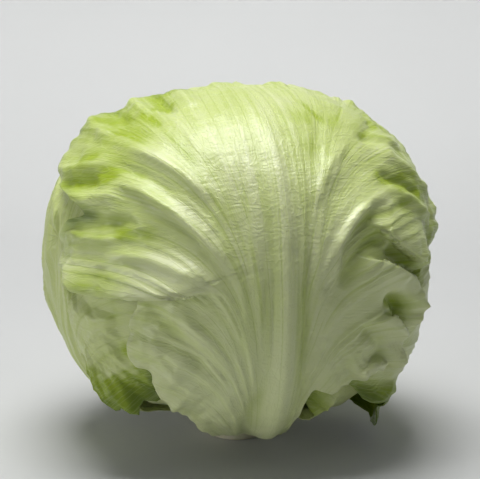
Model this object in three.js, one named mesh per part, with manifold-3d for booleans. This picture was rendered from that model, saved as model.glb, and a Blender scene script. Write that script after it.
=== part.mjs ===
// A head of crisphead lettuce, standing on its cut stem.
//
// The head is a stump, a heart of tight inner leaves, and the loose leaves that wrap the heart one
// over another. Every leaf grows from the side of the stump. Leaf 1 is the outermost, and each next
// leaf sits one turn of the growth spiral further round and one step deeper.
//
// All skins are drawn over the same lattice of directions from the head's centre, so a deeper
// skin stays inside the one over it. A leaf is the slice between two skins, cut to the leaf's
// outline and cleared around the stump.
//
// Millimetres and degrees, +Z up. The front of the head faces -Y. The origin is the centre of the
// stem's cut face, which the head stands on.

import * as THREE from "three";
import { mergeVertices } from "three/addons/utils/BufferGeometryUtils.js";
import Module from "manifold-3d";

// Head
const HEAD_HALF_WIDTH = 89; // centre to side, along X
const HEAD_HALF_DEPTH = 86; // centre to front or back, along Y
const CROWN_HEIGHT = 80; // centre up to the crown
const BELLY_DEPTH = 78; // centre down to where the leaves meet the stump
const CENTRE_HEIGHT = 80.5; // centre above the surface that the head stands on
const CROWN_SQUARENESS = 2.4; // 2 is an ellipse, more is boxier
const BELLY_SQUARENESS = 2.35;
const NECK_PULL = 4; // how far the belly is drawn in around the stump
const NECK_ANGLE = 25; // from straight down to where it is drawn in most
const NECK_SPREAD = 13;

// Leaves
const LEAF_THICKNESS = 1.2;
const LEAF_GAP = 0.9; // air between one leaf and the next
const GROWTH_TURN = 137.5; // from one leaf to the next round the stump
const FIRST_LEAF_TURN = 14; // the outermost leaf, from the front towards +X
const LEAF_RISE = 12; // how far the middle of a leaf looks above level
const RUFFLE = 5; // how far a free leaf edge stands off
const RUFFLE_BAND = 26; // width of the ruffled edge
const RUFFLE_WAVES = 11; // round the whole edge
const COVER_MARGIN = 14; // an edge this close to a covering leaf lies flat
const RIBBED_LEAVES = 5; // deeper leaves have their midribs covered all along
const RIB_HEIGHT = 2.4; // of the midrib where the leaf leaves the stump
const RIB_HALF_WIDTH = 8.5; // there
const RIB_TIP_HEIGHT = 0.8;
const RIB_TIP_HALF_WIDTH = 2.5;
const RIB_START = 6; // its lower end, out from under the middle of the stump
const RIB_REACH = 52; // its upper end, past the middle of the leaf
const RIB_COVER_MARGIN = 8; // a midrib this close to a covering leaf is sunk in its own leaf
const RIB_ROOT = 0.6; // how far the midrib is sunk in its leaf

// Stump
const CUT_RADIUS = 14;
const SHOULDER_RADIUS = 17;
const SHOULDER_HEIGHT = 13;
const CUT_BEVEL = 1;
const STUMP_TIP_RADIUS = 8;
const STUMP_EMBED = 18; // how far the stump reaches up into the heart
const CLEARANCE = 0.3; // between the stump and what grows round it

// Fineness
const LATTICE_DETAIL = 5;
const OUTLINE_SIDES = 60;
const STUMP_SIDES = 32;
const RIB_STATIONS = 12;
const FAR = 600; // well outside the head

const NAMES = [
  "wrapper_leaf_front",
  "wrapper_leaf_back_right",
  "wrapper_leaf_left",
  "wrapper_leaf_right",
  "wrapper_leaf_back",
  "head_leaf_01",
  "head_leaf_02",
  "head_leaf_03",
  "head_leaf_04",
];

// Leaf outlines: [bearing, reach]. Bearing turns from the leaf's tip towards its right, and
// reach is the angle from the middle of the leaf to its edge. The base runs in under the stump.
const BASE_REACH = 90 + LEAF_RISE;
const PLAIN_OUTLINE = [
  [0, 86],
  [35, 84],
  [70, 77],
  [100, 70],
  [130, 62],
  [152, 64],
  [167, 82],
  [180, BASE_REACH],
  [193, 82],
  [208, 64],
  [230, 62],
  [260, 70],
  [290, 77],
  [325, 84],
];
// The deeper leaves clasp the stump with a broad base, so no gap is left beside it.
const CLASPING_OUTLINE = [
  [0, 86],
  [35, 84],
  [70, 79],
  [100, 75],
  [130, 76],
  [150, 82],
  [165, 92],
  [180, BASE_REACH],
  [195, 92],
  [210, 82],
  [230, 76],
  [260, 75],
  [290, 79],
  [325, 84],
];
// The front leaf is drawn in low on both sides, so the leaves under it show there.
const FRONT_OUTLINE = [
  [0, 84],
  [30, 80],
  [55, 74],
  [78, 70],
  [97, 70],
  [109, 57],
  [125, 51],
  [141, 46],
  [157, 44],
  [170, 50],
  [176, 72],
  [180, BASE_REACH],
  [186, 92],
  [197, 67],
  [211, 57],
  [237, 53],
  [255, 48],
  [263, 58],
  [271, 70],
  [283, 80],
  [300, 84],
  [330, 82],
];

const rad = THREE.MathUtils.degToRad;
const deg = THREE.MathUtils.radToDeg;
const smooth = THREE.MathUtils.smoothstep;
const CENTRE = new THREE.Vector3(0, 0, CENTRE_HEIGHT);

const wasm = await Module();
wasm.setup();

// The distance from the head's centre to its outermost skin, along a unit direction.
function headRadius(direction) {
  const up = direction.z > 0;
  const power = up ? CROWN_SQUARENESS : BELLY_SQUARENESS;
  const level = Math.hypot(direction.x / HEAD_HALF_WIDTH, direction.y / HEAD_HALF_DEPTH);
  const upright = Math.abs(direction.z) / (up ? CROWN_HEIGHT : BELLY_DEPTH);
  const radius = (level ** power + upright ** power) ** (-1 / power);
  const fromBelow = deg(Math.acos(THREE.MathUtils.clamp(-direction.z, -1, 1)));
  return radius - NECK_PULL * Math.exp(-(((fromBelow - NECK_ANGLE) / NECK_SPREAD) ** 2));
}

// Reach at a bearing, on a smooth closed curve through an outline's points.
function reachAt(outline, bearing) {
  const turned = THREE.MathUtils.euclideanModulo(bearing, 360);
  const count = outline.length;
  const after = outline.findIndex(([at]) => at > turned);
  const next = after < 0 ? count : after;
  const point = (index) => {
    const lap = Math.floor(index / count);
    const [at, reach] = outline[THREE.MathUtils.euclideanModulo(index, count)];
    return [at + 360 * lap, reach];
  };
  const [a, b, c, d] = [next - 2, next - 1, next, next + 1].map(point);
  const span = c[0] - b[0];
  const t = (turned - b[0]) / span;
  const slopeB = ((c[1] - a[1]) / (c[0] - a[0])) * span;
  const slopeC = ((d[1] - b[1]) / (d[0] - b[0])) * span;
  return (
    b[1] * (2 * t ** 3 - 3 * t ** 2 + 1) +
    slopeB * (t ** 3 - 2 * t ** 2 + t) +
    c[1] * (3 * t ** 2 - 2 * t ** 3) +
    slopeC * (t ** 3 - t ** 2)
  );
}

// A leaf's own frame: where its middle looks, and its right and up there.
function leafFrame(turn) {
  const [side, rise] = [rad(turn), rad(LEAF_RISE)];
  const middle = new THREE.Vector3(
    Math.cos(rise) * Math.sin(side),
    -Math.cos(rise) * Math.cos(side),
    Math.sin(rise),
  );
  const right = new THREE.Vector3(Math.cos(side), Math.sin(side), 0);
  return { middle, right, up: middle.clone().cross(right) };
}

function outlineOf(index) {
  if (index === 0) return FRONT_OUTLINE;
  return index < RIBBED_LEAVES ? PLAIN_OUTLINE : CLASPING_OUTLINE;
}

const leaves = NAMES.map((name, index) => ({
  name,
  index,
  depth: index * (LEAF_THICKNESS + LEAF_GAP),
  outline: outlineOf(index),
  ...leafFrame(FIRST_LEAF_TURN + GROWTH_TURN * index),
}));

// How far a direction lies inside a leaf's outline, in degrees, and its bearing there.
function insideLeaf(leaf, direction) {
  const reach = deg(leaf.middle.angleTo(direction));
  const bearing = deg(Math.atan2(direction.dot(leaf.right), direction.dot(leaf.up)));
  return { inside: reachAt(leaf.outline, bearing) - reach, bearing };
}

// 1 where a leaf lies open, falling to 0 within a margin of the leaves that cover it.
function openness(leaf, direction, margin) {
  return leaves
    .slice(0, leaf.index)
    .map((over) => smooth(-insideLeaf(over, direction).inside, margin, 2 * margin))
    .reduce((product, share) => product * share, 1);
}

// How far a leaf's edge stands off. It lies flat where it is covered, at its tip and at its base.
function ruffle(leaf, direction) {
  const { inside, bearing } = insideLeaf(leaf, direction);
  const nearEdge = 1 - smooth(inside, 0, RUFFLE_BAND);
  const atSide = smooth(180 - Math.abs(bearing), 15, 50) * smooth(Math.abs(bearing), 20, 50);
  const wave = 0.5 + 0.5 * Math.sin(rad(RUFFLE_WAVES * bearing + GROWTH_TURN * leaf.index));
  return RUFFLE * openness(leaf, direction, COVER_MARGIN) * nearEdge * atSide * wave;
}

function outerSkin(leaf, direction) {
  return headRadius(direction) - leaf.depth + ruffle(leaf, direction);
}

// A closed geometry as a manifold-3d solid, once its shared vertices are merged.
function solidOf(geometry) {
  geometry.deleteAttribute("normal");
  geometry.deleteAttribute("uv");
  const merged = mergeVertices(geometry);
  return new wasm.Manifold(
    new wasm.Mesh({
      numProp: 3,
      vertProperties: merged.attributes.position.array,
      triVerts: new Uint32Array(merged.index.array),
    }),
  );
}

function geometryOf(solid) {
  const mesh = solid.getMesh();
  const geometry = new THREE.BufferGeometry();
  geometry.setAttribute("position", new THREE.BufferAttribute(mesh.vertProperties, mesh.numProp));
  geometry.setIndex(new THREE.BufferAttribute(mesh.triVerts, 1));
  geometry.computeVertexNormals();
  return geometry;
}

// A solid ball about the head's centre, whose radius changes with direction.
function ball(radiusOf) {
  const geometry = new THREE.IcosahedronGeometry(1, LATTICE_DETAIL);
  const place = geometry.attributes.position;
  const point = new THREE.Vector3();
  for (let i = 0; i < place.count; i++) {
    point.fromBufferAttribute(place, i).normalize();
    point.multiplyScalar(radiusOf(point.clone())).add(CENTRE);
    place.setXYZ(i, point.x, point.y, point.z);
  }
  return solidOf(geometry);
}

// Everything that a leaf's outline takes in, seen from the head's centre.
function outlineCone(leaf) {
  const rim = Array.from({ length: OUTLINE_SIDES }, (_, side) => {
    const bearing = (360 * side) / OUTLINE_SIDES;
    const reach = rad(reachAt(leaf.outline, bearing));
    const across = leaf.right.clone().multiplyScalar(Math.sin(rad(bearing)));
    across.addScaledVector(leaf.up, Math.cos(rad(bearing)));
    const direction = leaf.middle.clone().multiplyScalar(Math.cos(reach));
    return direction.addScaledVector(across, Math.sin(reach)).setLength(FAR).add(CENTRE);
  });
  const cap = leaf.middle.clone().setLength(FAR).add(CENTRE);
  const corners = rim.flatMap((here, side) => {
    const next = rim[(side + 1) % OUTLINE_SIDES];
    return [CENTRE, here, next, cap, next, here];
  });
  return solidOf(new THREE.BufferGeometry().setFromPoints(corners));
}

// The depth of all the loose leaves, which the heart fills up to.
const STACK_DEPTH = leaves.length * (LEAF_THICKNESS + LEAF_GAP);
const STUMP_TOP = CENTRE_HEIGHT - BELLY_DEPTH + STACK_DEPTH + STUMP_EMBED;

// The stump, turned about its own axis and grown all round by a clearance.
function stumpGeometry(grow) {
  const profile = [
    [0, -grow],
    [CUT_RADIUS - CUT_BEVEL + grow, -grow],
    [CUT_RADIUS + grow, CUT_BEVEL],
    [SHOULDER_RADIUS + grow, SHOULDER_HEIGHT],
    [SHOULDER_RADIUS + grow, STUMP_TOP - STUMP_EMBED],
    [STUMP_TIP_RADIUS + grow, STUMP_TOP + grow],
    [0, STUMP_TOP + grow],
  ].map(([radius, height]) => new THREE.Vector2(radius, height));
  return new THREE.LatheGeometry(profile, STUMP_SIDES).rotateX(Math.PI / 2);
}

const stumpRoom = solidOf(stumpGeometry(CLEARANCE));

// The raised midrib up the middle of a leaf's outer face, broad at the stump and thin at its end.
function midrib(leaf) {
  const rings = Array.from({ length: RIB_STATIONS }, (_, station) => {
    const along = station / (RIB_STATIONS - 1);
    const angle = rad(THREE.MathUtils.lerp(RIB_START - BASE_REACH, RIB_REACH, along));
    const direction = leaf.middle.clone().multiplyScalar(Math.cos(angle));
    direction.addScaledVector(leaf.up, Math.sin(angle));
    const open = openness(leaf, direction, RIB_COVER_MARGIN);
    const halfWidth = THREE.MathUtils.lerp(RIB_HALF_WIDTH, RIB_TIP_HALF_WIDTH, along);
    const height = THREE.MathUtils.lerp(RIB_HEIGHT, RIB_TIP_HEIGHT, along);
    const top = THREE.MathUtils.lerp(-RIB_ROOT / 2, height, open);
    const section = [
      [-halfWidth, -RIB_ROOT],
      [halfWidth, -RIB_ROOT],
      [halfWidth / 2, 0.8 * top],
      [0, top],
      [-halfWidth / 2, 0.8 * top],
    ];
    return section.map(([aside, over]) => {
      const skin = outerSkin(leaf, direction);
      const toward = direction.clone().multiplyScalar(skin).addScaledVector(leaf.right, aside);
      return toward.setLength(outerSkin(leaf, toward.clone().normalize()) + over).add(CENTRE);
    });
  });
  const corners = rings.slice(1).flatMap((ring, station) =>
    ring.flatMap((here, side) => {
      const next = (side + 1) % ring.length;
      const before = rings[station];
      return [before[side], here, ring[next], before[side], ring[next], before[next]];
    }),
  );
  const [base, tip] = [rings[0], rings[RIB_STATIONS - 1]];
  for (let side = 1; side < base.length - 1; side++) {
    corners.push(base[0], base[side], base[side + 1], tip[0], tip[side + 1], tip[side]);
  }
  return solidOf(new THREE.BufferGeometry().setFromPoints(corners));
}

function leafSolid(leaf) {
  const outer = ball((direction) => outerSkin(leaf, direction));
  const inner = ball((direction) => outerSkin(leaf, direction) - LEAF_THICKNESS);
  const blade = outer.subtract(inner).intersect(outlineCone(leaf));
  const ribbed = leaf.index < RIBBED_LEAVES ? blade.add(midrib(leaf)) : blade;
  return ribbed.subtract(stumpRoom);
}

const heartSolid = ball((direction) => headRadius(direction) - STACK_DEPTH).subtract(stumpRoom);

// Leaves are yellower and paler towards the heart.
const OUTER_GREEN = new THREE.Color(0.52, 0.62, 0.27);
const INNER_GREEN = new THREE.Color(0.8, 0.84, 0.55);
const STUMP_COLOUR = new THREE.Color(0.78, 0.72, 0.62);

function piece(name, geometry, color, roughness) {
  const material = new THREE.MeshStandardMaterial({ color, roughness, metalness: 0 });
  const mesh = new THREE.Mesh(geometry, material);
  mesh.name = name;
  return mesh;
}

const lettuce = new THREE.Group();
lettuce.add(piece("stump", stumpGeometry(0), STUMP_COLOUR, 0.7));
lettuce.add(piece("heart", geometryOf(heartSolid), INNER_GREEN, 0.5));
leaves.forEach((leaf) => {
  const colour = OUTER_GREEN.clone().lerp(INNER_GREEN, leaf.index / leaves.length);
  lettuce.add(piece(leaf.name, geometryOf(leafSolid(leaf)), colour, 0.5));
});

export default lettuce;
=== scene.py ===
"""A head of crisphead lettuce on its cut stem: the visual model.

Every leaf is drawn in its own plane first. The middle of the leaf is the plane's origin, x runs to
the leaf's right and y to its tip, both in degrees round the head's centre. The plane is then
wrapped over the head, one layer deeper for each leaf, and pressed in wherever another leaf lies
over it. Lengths are in metres.
"""

import math

import bpy
import numpy as np
from bpy.props import FloatProperty, FloatVectorProperty, PointerProperty
from bpy.types import Operator, Panel, PropertyGroup
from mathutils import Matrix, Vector


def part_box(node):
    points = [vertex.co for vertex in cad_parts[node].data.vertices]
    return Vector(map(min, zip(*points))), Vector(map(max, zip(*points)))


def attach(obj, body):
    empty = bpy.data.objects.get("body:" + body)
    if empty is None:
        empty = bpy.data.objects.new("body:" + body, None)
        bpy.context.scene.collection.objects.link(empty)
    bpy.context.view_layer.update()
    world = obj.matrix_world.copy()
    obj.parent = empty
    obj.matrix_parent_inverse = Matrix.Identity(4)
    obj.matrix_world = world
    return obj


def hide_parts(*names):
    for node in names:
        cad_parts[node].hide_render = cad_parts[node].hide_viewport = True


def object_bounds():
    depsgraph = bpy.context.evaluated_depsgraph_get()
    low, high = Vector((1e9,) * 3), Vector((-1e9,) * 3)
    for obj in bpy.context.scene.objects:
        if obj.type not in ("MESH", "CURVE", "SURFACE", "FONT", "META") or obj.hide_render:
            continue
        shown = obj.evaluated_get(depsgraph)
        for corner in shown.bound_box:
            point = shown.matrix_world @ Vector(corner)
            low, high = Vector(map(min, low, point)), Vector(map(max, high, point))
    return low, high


bl_info = {
    "name": "Head of Lettuce",
    "version": (1, 0, 0),
    "blender": (4, 5, 0),
    "location": "View3D > Sidebar > Lettuce",
    "description": "Builds a crisphead lettuce leaf by leaf",
    "category": "Add Mesh",
}

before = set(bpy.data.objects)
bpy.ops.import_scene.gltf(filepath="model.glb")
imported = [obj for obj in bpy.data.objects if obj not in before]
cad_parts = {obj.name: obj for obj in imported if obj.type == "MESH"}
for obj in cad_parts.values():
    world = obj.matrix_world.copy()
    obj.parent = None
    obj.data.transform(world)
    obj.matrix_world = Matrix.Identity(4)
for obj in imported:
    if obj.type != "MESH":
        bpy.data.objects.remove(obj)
CAD_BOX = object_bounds()
LOW, HIGH = (Vector(corner) for corner in CAD_BOX)
MM = 0.001

# ---- Sizes and colours ----


def srgb(red, green, blue):
    """A colour given in 0-255 screen values, as linear light."""
    return tuple(
        value / 12.92 if value <= 0.04045 else ((value + 0.055) / 1.055) ** 2.4
        for value in (red / 255, green / 255, blue / 255)
    )


def length(name, description, default):
    return FloatProperty(
        name=name, description=description, default=default, min=0.0, unit="LENGTH", precision=4
    )


def colour(name, description, default):
    return FloatVectorProperty(
        name=name, description=description, default=default, size=3, min=0.0, max=1.0,
        subtype="COLOR",
    )


class LettuceSizes(PropertyGroup):
    half_width: length("Half width", "Centre of the head to its side", 0.5 * (HIGH.x - LOW.x))
    half_depth: length("Half depth", "Centre of the head to its front", 0.5 * (HIGH.y - LOW.y))
    height: length("Height", "Surface to the crown", HIGH.z)
    centre_height: length("Centre height", "Surface to the middle of the head", 0.0805)
    belly: length("Belly", "Centre of the head down to the lowest leaf", 0.078)
    thickness: length("Leaf thickness", "Thickness of a leaf blade", 0.0010)
    layer: length("Layer", "From one leaf to the next one under it", 0.0021)
    clearance: length("Clearance", "Least air between two leaves", 0.0005)
    ruffle: length("Ruffle", "How far a free leaf edge waves in and out", 0.0022)
    pucker: length("Pucker", "Height of the blisters between the veins", 0.0007)
    cut_radius: length("Cut radius", "Radius of the cut stem", 0.0140)


class LettuceColours(PropertyGroup):
    blade: colour("Blade", "Leaf blade", srgb(184, 196, 124))
    rib: colour("Rib", "Midrib and the pale base of a leaf", srgb(200, 207, 156))
    edge: colour("Edge", "Green towards the leaf edge", srgb(148, 168, 42))
    tip: colour("Tip", "Dark torn tips", srgb(70, 92, 14))
    heart: colour("Heart", "Inner leaves", srgb(226, 229, 168))
    stem: colour("Stem", "Freshly cut stem", srgb(226, 214, 202))
    browning: colour("Browning", "Cut stem where it has browned", srgb(150, 98, 70))
    floor: colour("Floor", "Floor and backdrop", srgb(198, 199, 198))


# ---- Leaves: how each one is drawn ----

FIRST_TURN = 14.0  # which way the outermost leaf looks, round the stump from the front
GROWTH_TURN = 137.5  # from each leaf to the next one in
LEAF_RISE = 12.0  # how far the middle of a leaf looks above level, in degrees
BASE_REACH = 96.0  # from the middle of a leaf down to where it leaves the stump
SPOKES = 440  # a leaf is a net of points on spokes from its middle
RINGS = 100

# An outline is the edge of a leaf as (bearing, reach) in degrees. The bearing starts at the tip and
# turns to the leaf's right, so the stump is at 180.
PLAIN_OUTLINE = [
    (0, 86), (18, 83), (35, 85), (52, 80), (70, 78), (85, 73), (100, 71), (115, 66), (130, 63),
    (143, 60), (154, 64), (168, 84), (180, BASE_REACH), (192, 84), (206, 64), (218, 61),
    (230, 64), (245, 66), (260, 71), (276, 73), (290, 78), (308, 82), (325, 83), (342, 86),
]
CLASPING_OUTLINE = [
    (0, 86), (18, 84), (35, 85), (52, 82), (70, 79), (85, 77), (100, 75), (115, 75), (130, 76),
    (150, 82), (165, 92), (180, BASE_REACH), (195, 92), (210, 82), (230, 76), (260, 75),
    (276, 77), (290, 79), (308, 82), (325, 84), (342, 86),
]
FRONT_OUTLINE = [
    (0, 90), (12, 88), (20, 90), (28, 87), (36, 88), (46, 85), (56, 85), (66, 81), (76, 77),
    (84, 68), (90, 60), (95, 55), (100, 50), (105, 49), (112, 50), (118, 49), (123, 46),
    (129, 53), (134, 52), (139, 46), (146, 45), (157, 44), (168, 43), (174, 60), (180, 93),
    (187, 90), (197, 67), (211, 57), (224, 53), (231, 51), (237, 53), (245, 51), (252, 47),
    (257, 43), (260, 44), (263, 57), (267, 66), (272, 73), (278, 79), (281, 78), (285, 69),
    (288, 62), (291, 66), (295, 79), (300, 86), (308, 90), (317, 92), (325, 90), (331, 89),
    (335, 87), (340, 88), (350, 87),
]
LEFT_OUTLINE = [
    (0, 84), (20, 82), (40, 84), (60, 80), (80, 78), (100, 74), (112, 66), (120, 62),
    (134, 61), (139, 59), (143, 54), (147, 51), (152, 51), (157, 50), (162, 50), (167, 56),
    (173, 70), (180, BASE_REACH), (187, 84), (200, 66), (215, 62), (232, 64), (250, 70),
    (270, 76), (290, 80), (320, 84),
]
BACK_RIGHT_OUTLINE = [
    (0, 86), (25, 84), (50, 80), (75, 76), (100, 70), (125, 64), (145, 62), (160, 70),
    (172, 88), (180, BASE_REACH), (188, 95), (200, 82), (208, 77), (214, 81), (219, 87),
    (223, 90), (227, 91), (231, 93), (235, 98), (239, 106), (243, 114), (247, 117), (252, 112),
    (260, 98), (270, 84), (284, 78), (300, 79), (330, 84),
]

# A pleat is a ridge or, with a negative height, a valley. Each is (points, height in mm, half width
# to the left of its run, half width to the right, lean to the left), in degrees but for the height.
FRONT_PLEATS = [
    # the pale ridges that run out to the left
    ([(-50, 27), (-44, 26), (-38, 23), (-27, 14), (-22, 9), (-18, 3), (-15, -4)], 2.3, 3.4, 1.5, -0.5),
    ([(-52, 47), (-39, 37), (-31, 31), (-24, 24), (-17, 16)], 1.8, 3.4, 2.4, 0.0),
    ([(-58, 3), (-44, 5), (-38, 4), (-32, 2), (-26, 0), (-21, -3), (-16, -10)], 1.6, 2.8, 1.5, -0.3),
    ([(-48, 35), (-36, 27), (-27, 19)], -1.2, 1.8, 1.8, 0.0),
    # the sharp crests on them
    ([(-40, 24), (-34, 20), (-29, 16), (-24, 11), (-19, 4)], 1.5, 1.1, 0.9, 0.0),
    ([(-42, 39), (-34, 33), (-27, 27), (-19, 18)], 0.9, 1.3, 1.1, 0.0),
    ([(-46, 5), (-37, 4), (-30, 1.5), (-22, -2)], 0.9, 1.1, 0.9, 0.0),
    ([(13, 0), (14, 5), (17, 9), (21, 13), (26, 15)], 1.8, 1.2, 0.9, 0.0),
    ([(10, 15), (12, 21), (15, 26), (19, 31)], 0.6, 1.1, 0.9, 0.0),
    # the folded edge low on the left, which hangs over the leaf under it
    ([(-17, -6), (-25, -5), (-33, -5), (-43, -5), (-54, -5), (-62, -3), (-70, 5)], 7.0, 1.4, 6.5, 2.4),
    ([(-69, 15), (-60, 11), (-52, 9.5), (-45, 9)], 2.2, 1.3, 1.5, 0.8),
    ([(-64, 19), (-56, 17), (-48, 15), (-40, 15)], -2.4, 2.2, 2.2, 0.0),
    ([(-70, 25), (-62, 24), (-52, 23), (-44, 24)], 2.2, 2.2, 2.6, 0.4),
    ([(-72, 33), (-62, 31), (-52, 29)], -2.2, 2.4, 2.0, 0.0),
    ([(-74, 40), (-64, 38), (-54, 36), (-46, 36)], 1.6, 3.0, 2.4, 0.0),
    # bumps along the upper left
    ([(-50, 46), (-58, 58), (-64, 70)], 2.6, 3.4, 3.0, 0.0),
    ([(-44, 52), (-50, 62), (-56, 72)], -2.0, 2.0, 2.4, 0.0),
    ([(-36, 54), (-42, 66), (-46, 78)], 2.4, 3.0, 3.0, 0.0),
    ([(-28, 52), (-33, 66), (-36, 78)], -2.6, 2.0, 2.0, 0.0),
    ([(-20, 54), (-25, 68), (-28, 80)], 1.8, 3.0, 3.0, 0.0),
    # the right-hand ridge and the ridge over it
    ([(11, -8), (13, 0), (14, 5), (18, 10), (23, 14), (28, 17), (35, 18)], 3.2, 4.5, 2.0, -0.6),
    ([(9, 14), (11, 20), (15, 25), (20, 31), (25, 36)], 1.0, 3.0, 2.4, 0.0),
    ([(12, 26), (13, 31), (16, 38), (20, 46)], -0.7, 1.8, 1.6, 0.0),
    ([(30, 34), (38, 42), (48, 50)], -1.2, 2.4, 2.4, 0.0),
    ([(36, 30), (46, 38), (58, 44)], 1.4, 3.0, 3.0, 0.0),
    ([(16, -8), (19, -1), (24, 4), (31, 7)], -2.8, 1.8, 2.6, 0.0),
    # the upper right lobe, which hangs over the one under it
    ([(24, 11), (30, 9), (36, 5), (45, 1), (54, -1.5)], 6.0, 8.0, 1.3, -2.4),
    ([(32, 26), (38, 23), (45, 22), (54, 19)], -2.0, 1.7, 1.7, 0.0),
    ([(32, 20), (42, 18), (52, 15), (64, 10)], 1.8, 2.2, 2.2, 0.0),
    ([(34, 32), (44, 30), (56, 26), (68, 20)], 1.6, 2.6, 2.4, 0.0),
    ([(30, 38), (42, 37), (54, 35)], -1.0, 1.6, 1.6, 0.0),
    ([(30, 3), (37, 0), (44, -3), (50, -5), (58, -7)], -6.5, 2.0, 1.6, 0.0),
    # the second and third lobes down the right, each with a curled rim round a hollow
    ([(20, 1), (27, -3), (35, -6), (42, -9), (47, -14), (48, -21), (45, -28)], 5.0, 1.6, 5.0, 2.2),
    ([(31, -12), (36, -13), (40, -17), (41, -23)], -5.5, 1.5, 2.0, 0.0),
    ([(29, -17), (35, -20), (39, -25), (41, -31), (40, -38)], 4.6, 1.3, 3.6, 2.0),
    ([(22, -20), (28, -22), (33, -27), (34, -34)], -2.4, 2.0, 2.2, 0.0),
    ([(21, -35), (27, -33), (33, -33), (37, -36)], 3.6, 1.2, 2.6, 1.4),
    ([(24, -40), (29, -37), (34, -38)], -3.0, 1.4, 1.6, 0.0),
    # soft folds low on the left
    ([(-42, -10), (-35, -15), (-28, -23), (-22, -33)], -2.0, 2.6, 2.4, 0.0),
    ([(-36, -9), (-29, -14), (-21, -23)], 1.5, 2.6, 3.0, 0.0),
    ([(-40, -20), (-34, -27), (-29, -36)], 1.6, 2.4, 2.4, 0.0),
    ([(-36, -25), (-31, -30)], -1.4, 1.4, 1.4, 0.0),
    ([(-4, -36), (-8, -43), (-10, -54), (-8, -66)], -1.5, 2.0, 2.2, 0.0),
    ([(-14, -36), (-18, -46), (-18, -58)], 1.0, 3.0, 3.0, 0.0),
    # the valley beside the midrib
    ([(7, -52), (6, -32), (5.5, -20), (5.5, -8), (7, 5)], -2.0, 1.5, 1.8, 0.0),
]
LEFT_PLEATS = [
    ([(20, -48), (24, -36), (26, -20), (24, 0)], 0.8, 3.0, 3.0, 0.0),
    ([(40, -46), (42, -38), (42, -28)], 0.8, 2.2, 2.2, 0.0),
    ([(10, -44), (12, -30), (10, -8)], -0.8, 3.0, 3.0, 0.0),
    # tears
    ([(31, -2), (32, -8), (32, -13), (34, -17), (35, -22), (36, -27)], -0.9, 0.9, 1.2, 0.0),
    ([(42, -2), (45, -6), (45, -10), (42, -13)], -0.9, 1.2, 0.9, 0.0),
    ([(-20, -30), (-26, 0), (-30, 26)], 1.2, 4.0, 4.0, 0.0),
    ([(-6, 20), (-10, 40), (-12, 62)], -1.4, 3.0, 3.0, 0.0),
]


def sprung_pleats(seed, count, height):
    """Gentle pleats that spring from the midrib and curve out to the edge on both sides."""
    random = np.random.default_rng(seed)
    pleats = []
    for index in range(count):
        side = 1 if index % 2 else -1
        start = -46 + 70 * index / count + random.uniform(-3, 3)
        spread = random.uniform(0.8, 1.1)
        points = [
            (side * spread * 58 * t ** 1.25 + side * 3, start + (48 - 0.25 * start) * t ** 0.9)
            for t in (0.05, 0.3, 0.55, 0.8, 1.05)
        ]
        rise = height * random.uniform(0.6, 1.2) * (1 if random.uniform() < 0.68 else -0.8)
        wide = random.uniform(2.4, 4.2)
        pleats.append((points, rise, wide, wide * random.uniform(0.5, 1.0), 0.0))
    return pleats


# Green patches: (x, y, radius in degrees, strength). The broad ones at (42, 24) and (30, 0) are
# painted shade that darkens the right side of the leaf.
FRONT_GREENS_AND_SHADE = [
    (-60, 68, 16, 0.3), (-30, 80, 9, 0.35), (-62, 33, 7, 0.2), (-50, 30, 5, 0.2),
    (-60, 16, 10, 0.2), (-42, 13, 8, 0.12), (-38, 46, 10, 0.28), (-25, 30, 6, 0.22),
    (-32, 62, 7, 0.2), (14, 46, 6, 0.4), (12, 33, 4, 0.25), (26, 46, 8, 0.2),
    (43, 23, 4, 0.45), (54, 20, 6, 0.3), (60, 8, 12, 0.35), (40, 14, 6, 0.3), (44, -4, 5, 0.4),
    (39, -17, 4, 0.5), (-54, -1, 9, 0.36), (50, 52, 14, 0.3), (-12, 56, 12, 0.15),
    # the last two patches, at (42, 24) and (30, 0), are painted shade on the right side
    (30, -40, 5, 0.3), (-48, 20, 24, 0.22), (-46, 52, 20, 0.15), (42, 24, 16, 0.32),
    (30, 0, 15, 0.2),
]
# Green streaks: (points, half width in degrees, strength).
FRONT_STREAKS = [
    ([(-60, 63), (-53, 60), (-47, 57)], 2.4, 0.5),
    ([(-40, 58), (-36, 52), (-32, 46)], 1.6, 0.5),
    ([(-37, 60), (-32, 60), (-27, 61)], 1.6, 0.45),
    ([(-29, 73), (-23, 75), (-17, 76)], 1.8, 0.5),
    ([(-32, 46), (-29, 40), (-26, 35), (-21, 27)], 1.1, 0.5),
    ([(-64, 40), (-59, 40), (-53, 39)], 2.2, 0.45),
    ([(-66, 32), (-58, 31), (-51, 30), (-43, 30)], 1.5, 0.5),
    ([(-38, 26), (-33, 20), (-28, 16)], 1.3, 0.45),
    ([(-50, 11), (-42, 11), (-34, 10)], 2.0, 0.25),
    ([(-66, 13), (-58, 10.5), (-48, 9)], 1.3, 0.35),
    ([(-64, -1), (-53, -1), (-42, 0)], 3.0, 0.35),
    ([(-71, 24), (-66, 20), (-60, 18)], 2.0, 0.35),
    ([(17, 60), (18, 51), (20, 42)], 1.4, 0.4),
    ([(29, 25), (36, 22), (42, 19)], 2.2, 0.4),
    ([(30, 40), (40, 40), (52, 38)], 1.2, 0.3),
]
LEFT_GREENS = [
    (19, -50, 9, 0.5), (30, -46, 8, 0.45), (42, -46, 10, 0.55), (36, -27, 3, 0.6),
    (33, -15, 3, 0.25), (45, -8, 3, 0.3),
]


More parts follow.
